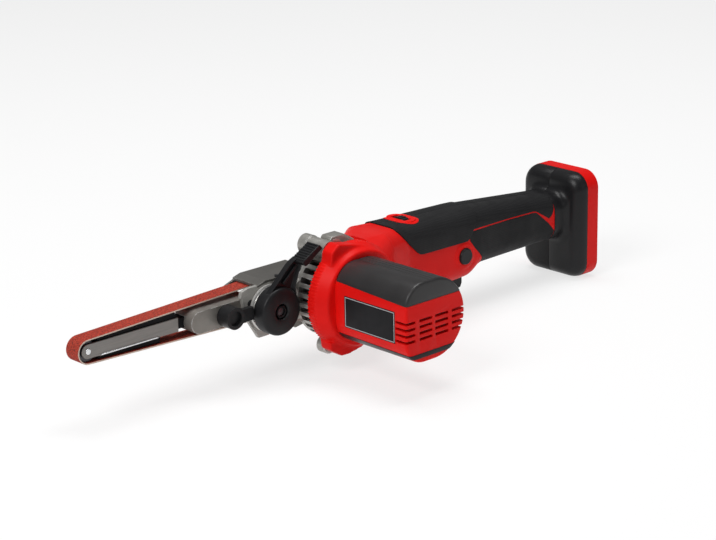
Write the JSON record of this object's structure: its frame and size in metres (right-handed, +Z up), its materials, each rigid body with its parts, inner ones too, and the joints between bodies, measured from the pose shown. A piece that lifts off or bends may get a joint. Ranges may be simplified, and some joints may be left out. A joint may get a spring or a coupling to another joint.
{
  "type": "cordless belt file",
  "caption": "Cordless power file: a narrow sanding belt runs on a swivelling arm beside a transverse motor, with an in-line trigger handle and a battery foot.",
  "frame": {"origin": "where the motor axis crosses the middle plane of the sanding belt, at the drive roller", "axes": "+X from the nose of the belt to the battery foot, +Y along the motor axis from the motor to the open side of the belt, +Z up"},
  "size_m": [0.4675, 0.1509, 0.092],
  "materials": {
    "red_plastic": "satin moulded plastic",
    "soft_grip": "soft grip skin with a fine dotted texture",
    "black_plastic": "fine spark texture",
    "contact_brass": "bright contact metal",
    "dark_screws": "blackened steel",
    "label_black": "smooth blank plate",
    "cast_alloy": "blasted die casting",
    "bright_steel": "turned steel",
    "can_steel": "zinc plated sheet",
    "magnet": "ground ferrite",
    "tan_board": "pressed paper board",
    "carbon": "pressed carbon",
    "green_board": "lacquered circuit board",
    "pot_blue": "moulded case",
    "lead_red": "soft wire sleeve",
    "armature_iron": "lacquered laminations",
    "copper": "turned copper",
    "tyre_rubber": "ground rubber",
    "arm_silver": "silver paint",
    "guard_gray": "gray paint",
    "block_gray": "gray paint on a casting",
    "abrasive": "cloth with bonded grit",
    "core_black": "black oxide",
    "plate_steel": "satin sheet steel"
  },
  "bodies": {
    "housing": {"housing_near": "red_plastic", "housing_far": "red_plastic", "top_grip_near": "soft_grip", "top_grip_far": "soft_grip", "rear_grip_near": "soft_grip", "rear_grip_far": "soft_grip", "foot_rim": "red_plastic", "battery_seat": "black_plastic", "terminal_block": "black_plastic", "terminals": "contact_brass", "shell_screws": "dark_screws", "motor_cover": "red_plastic", "cover_top_pad": "soft_grip", "cover_bottom_pad": "soft_grip", "label_plate": "label_black", "drive_bracket": "cast_alloy", "bearing_retainer": "bright_steel", "retainer_screws": "dark_screws", "tie_screws": "dark_screws", "motor_can": "can_steel", "motor_magnets": "magnet", "brush_plate": "tan_board", "carbon_brushes": "carbon", "motor_end_cap": "black_plastic", "front_bearing": "bright_steel", "rear_bearing": "bright_steel", "switch_body": "black_plastic", "control_board": "green_board", "speed_pot": "pot_blue", "dial_bezel": "red_plastic", "power_leads": "lead_red", "clamp_bolt": "bright_steel", "clamp_nut": "dark_screws"},
    "rotor": {"motor_shaft": "bright_steel", "armature": "armature_iron", "commutator": "copper", "cooling_fan": "black_plastic", "drive_hub": "bright_steel", "drive_tyre": "tyre_rubber", "roller_screw": "bright_steel"},
    "arm": {"arm_bracket": "arm_silver", "belt_guard": "guard_gray", "guard_screws": "dark_screws", "guide_block": "block_gray", "block_screws": "dark_screws", "sanding_belt": "abrasive", "tension_spring": "bright_steel"},
    "nose_bar": {"arm_core": "core_black", "nose_plate_near": "plate_steel", "nose_plate_far": "plate_steel", "nose_axle": "bright_steel"},
    "nose_roller": {"nose_roller": "bright_steel"},
    "clamp_lever": {"clamp_lever": "black_plastic"},
    "release_lever": {"release_lever": "black_plastic"},
    "trigger": {"trigger": "black_plastic"},
    "lock_button": {"lock_button": "black_plastic"},
    "speed_dial": {"speed_dial": "black_plastic"}
  },
  "joints": [
    {"name": "arm_swivel", "type": "hinge", "parent": "housing", "child": "arm", "pos_m": [0, 0, 0], "axis": [0, 1, 0], "range_deg": [-12, 20]},
    {"name": "rotor_spin", "type": "hinge", "parent": "housing", "child": "rotor", "pos_m": [0, 0, 0], "axis": [0, 1, 0], "continuous": true},
    {"name": "release_turn", "type": "hinge", "parent": "arm", "child": "release_lever", "pos_m": [-0.088, -0.0135, 0], "axis": [0, -1, 0], "range_deg": [0, 180]},
    {"name": "nose_slide", "type": "slide", "parent": "arm", "child": "nose_bar", "axis": [1, 0, 0], "range_m": [0, 0.004], "deforming": ["tension_spring"]},
    {"name": "nose_roller_spin", "type": "hinge", "parent": "nose_bar", "child": "nose_roller", "pos_m": [-0.19368, 0, 0], "axis": [0, 1, 0], "continuous": true},
    {"name": "clamp_turn", "type": "hinge", "parent": "housing", "child": "clamp_lever", "pos_m": [-0.054, -0.0259, -0.002], "axis": [0, -1, 0], "range_deg": [0, 50]},
    {"name": "trigger_press", "type": "slide", "parent": "housing", "child": "trigger", "axis": [0, 0, 1], "range_m": [0, 0.005], "stiffness_N_per_m": 600, "springref_m": -0.004},
    {"name": "lock_press", "type": "slide", "parent": "housing", "child": "lock_button", "axis": [0, 1, 0], "range_m": [0, 0.003], "stiffness_N_per_m": 500, "springref_m": -0.003},
    {"name": "dial_turn", "type": "hinge", "parent": "housing", "child": "speed_dial", "pos_m": [0.086, 0, 0.0173], "axis": [1, 0, 0], "range_deg": [-135, 135]}
  ],
  "couplings": [
    {"joint": "release_turn", "follows": "nose_slide", "rad_per_m": 785.39},
    {"joint": "nose_roller_spin", "follows": "rotor_spin", "ratio": 1.7975}
  ]
}
